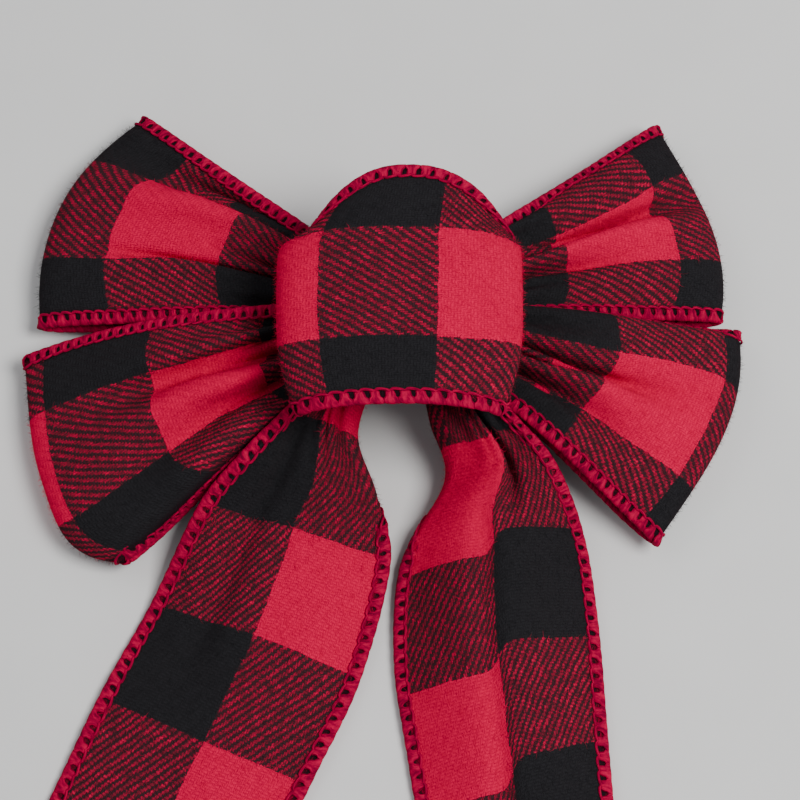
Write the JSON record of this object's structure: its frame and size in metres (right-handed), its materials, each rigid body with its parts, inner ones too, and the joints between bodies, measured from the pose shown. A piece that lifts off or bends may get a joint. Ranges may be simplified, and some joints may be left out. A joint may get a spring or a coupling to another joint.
{
  "type": "hair bow",
  "caption": "Puffy check flannel hair bow: centre loop over a tied knot, side loops, two long tails, overlocked edges, and a sprung clip on its felt back.",
  "frame": {"origin": "centre of the clip strap's underside, under the middle of the knot, where the clip's upper jaw presses on hair", "axes": "+Z out of the bow's front, +X to the right as the bow is looked at, +Y towards the upper loops, the tails hang towards -Y"},
  "size_m": [0.1946, 0.2364, 0.0484],
  "materials": {
    "check_flannel": "brushed twill in red and black checks",
    "overlock_thread": "woolly crimson thread",
    "edge_wire": "thin annealed wire",
    "hot_glue": "milky, waxy",
    "felt": "dense wool felt",
    "clip_steel": "nickel-plated, bright",
    "spring_steel": "hard drawn wire"
  },
  "bodies": {
    "bow": {"upper_loops": "check_flannel", "lower_loops": "check_flannel", "tails": "check_flannel", "centre_loop": "check_flannel", "upper_loops_edging": "overlock_thread", "lower_loops_edging": "overlock_thread", "tails_edging": "overlock_thread", "centre_loop_edging": "overlock_thread", "upper_loops_wires": "edge_wire", "lower_loops_wires": "edge_wire", "tails_wires": "edge_wire", "centre_loop_wires": "edge_wire", "tie_wire": "edge_wire", "glue_pad": "hot_glue", "backing_felt": "felt", "clip_strap": "felt", "clip_upper_arm": "clip_steel", "clip_pin": "clip_steel", "clip_spring": "spring_steel"},
    "lower_jaw": {"clip_lower_arm": "clip_steel"}
  },
  "joints": [
    {"name": "clip_hinge", "type": "hinge", "parent": "bow", "child": "lower_jaw", "pos_m": [-0.012, 0, -0.00375], "axis": [0, 1, 0], "range_deg": [0, 28], "stiffness_Nm_per_rad": 0.1, "springref_deg": -57.3, "deforming": ["clip_spring"]}
  ]
}
